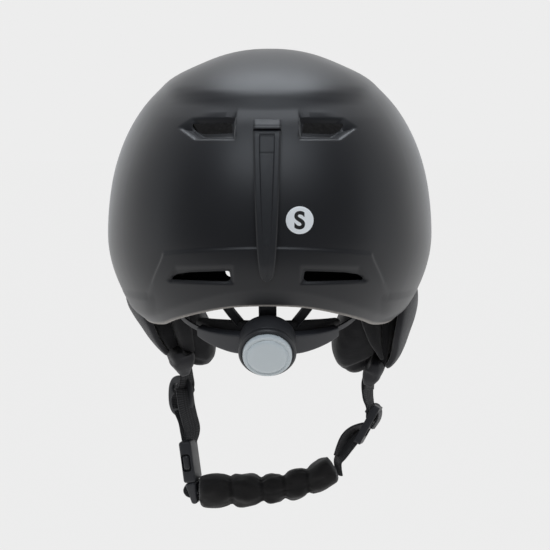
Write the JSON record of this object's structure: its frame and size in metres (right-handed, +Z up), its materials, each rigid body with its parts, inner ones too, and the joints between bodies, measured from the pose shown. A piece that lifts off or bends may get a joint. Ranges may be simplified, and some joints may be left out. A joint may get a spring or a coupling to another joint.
{
  "type": "ski helmet",
  "caption": "Snow-sport helmet with a vented hard shell, foam liner, soft ear pads, a dial fit system, a goggle-strap clip and a buckled, padded chin strap.",
  "frame": {"origin": "middle of the flat lower face of the crown pad, where the top of the head touches", "axes": "+Z up with the head upright, the wearer faces -Y, +X is the wearer's left"},
  "size_m": [0.219, 0.2677, 0.3148],
  "materials": {
    "shell": "soft-touch matte",
    "foam": "expanded foam, coarse",
    "lining": "brushed lining fabric",
    "ear_fabric": "brushed stretch fabric",
    "webbing": "flat woven webbing",
    "dark_plastic": "fine moulded",
    "grey_plastic": "smooth moulded",
    "dial_plastic": "smooth moulded",
    "film": "printed film"
  },
  "bodies": {
    "helmet": {"outer_shell": "shell", "impact_liner": "foam", "crown_pad": "lining", "brow_pad": "lining", "rear_pad": "lining", "side_pad_left": "lining", "side_pad_right": "lining", "clip_base": "dark_plastic", "clip_stud": "dark_plastic", "size_sticker": "film", "ear_flap_left": "ear_fabric", "ear_cushion_left": "lining", "strap_inner_left": "webbing", "strap_root_left": "webbing", "strap_sleeve_left": "ear_fabric", "strap_rivet_left": "dark_plastic", "ear_flap_right": "ear_fabric", "ear_cushion_right": "lining", "strap_inner_right": "webbing", "strap_root_right": "webbing", "strap_sleeve_right": "ear_fabric", "strap_rivet_right": "dark_plastic", "hanger_centre": "dark_plastic", "hanger_plug_centre": "dark_plastic", "hanger_left": "dark_plastic", "hanger_plug_left": "dark_plastic", "hanger_right": "dark_plastic", "hanger_plug_right": "dark_plastic"},
    "goggle_clip": {"goggle_clip": "dark_plastic"},
    "fit_cradle": {"fit_cradle": "grey_plastic", "dial_ring": "dark_plastic", "nape_pad": "lining"},
    "dial": {"dial_knob": "dial_plastic", "dial_cap": "dial_plastic", "dial_pinion": "dark_plastic"},
    "rack_left": {"rack_left": "dark_plastic"},
    "rack_right": {"rack_right": "dark_plastic"},
    "chin_loop": {"strap_left": "webbing", "strap_left_return": "webbing", "strap_right": "webbing", "strap_right_lower": "webbing", "strap_tail": "webbing", "ladder_lock_left": "dark_plastic", "ladder_lock_right": "dark_plastic", "buckle_female": "dark_plastic"},
    "chin_guard": {"chin_pad": "ear_fabric", "buckle_male": "dark_plastic", "chin_web_loop": "webbing"},
    "prong_front": {"buckle_prong_front": "dark_plastic"},
    "prong_rear": {"buckle_prong_rear": "dark_plastic"}
  },
  "joints": [
    {"name": "goggle_clip_lift", "type": "hinge", "parent": "helmet", "child": "goggle_clip", "pos_m": [0, 0.119, -0.0225], "axis": [1, 0, 0], "range_deg": [0, 22], "stiffness_Nm_per_rad": 0.06},
    {"name": "cradle_slide", "type": "slide", "parent": "helmet", "child": "fit_cradle", "axis": [0, -0.848, 0.5299], "range_m": [0, 0.01], "deforming": ["hanger_centre", "hanger_left", "hanger_right"]},
    {"name": "dial_turn", "type": "hinge", "parent": "fit_cradle", "child": "dial", "pos_m": [0, 0.0429, -0.121], "axis": [0, 0.848, -0.5299], "range_deg": [-230, 0]},
    {"name": "rack_left_feed", "type": "hinge", "parent": "fit_cradle", "child": "rack_left", "pos_m": [0, 0.0429, -0.121], "axis": [0, 0.5299, 0.848], "range_deg": [0, 9]},
    {"name": "rack_right_feed", "type": "hinge", "parent": "fit_cradle", "child": "rack_right", "pos_m": [0, 0.0429, -0.121], "axis": [0, 0.5299, 0.848], "range_deg": [-9, 0]},
    {"name": "chin_loop_swing", "type": "hinge", "parent": "helmet", "child": "chin_loop", "pos_m": [0, -0.008, -0.1905], "axis": [1, 0, 0], "range_deg": [-35, 35], "deforming": ["strap_root_left", "strap_root_right"]},
    {"name": "buckle_release", "type": "hinge", "parent": "chin_loop", "child": "chin_guard", "pos_m": [-0.0445, -0.008, -0.2525], "axis": [0, 1, 0], "range_deg": [0, 55]},
    {"name": "prong_front_pinch", "type": "hinge", "parent": "chin_guard", "child": "prong_front", "pos_m": [0.0545, -0.0154, -0.2626], "axis": [1, 0, 0], "range_deg": [-7, 0], "stiffness_Nm_per_rad": 0.05},
    {"name": "prong_rear_pinch", "type": "hinge", "parent": "chin_guard", "child": "prong_rear", "pos_m": [0.0545, -0.0006, -0.2626], "axis": [1, 0, 0], "range_deg": [0, 7]}
  ],
  "couplings": [
    {"joint": "dial_turn", "follows": "cradle_slide", "rad_per_m": -400},
    {"joint": "rack_left_feed", "follows": "cradle_slide", "rad_per_m": 15.152},
    {"joint": "rack_right_feed", "follows": "cradle_slide", "rad_per_m": -15.152},
    {"joint": "prong_rear_pinch", "follows": "prong_front_pinch", "ratio": -1}
  ]
}
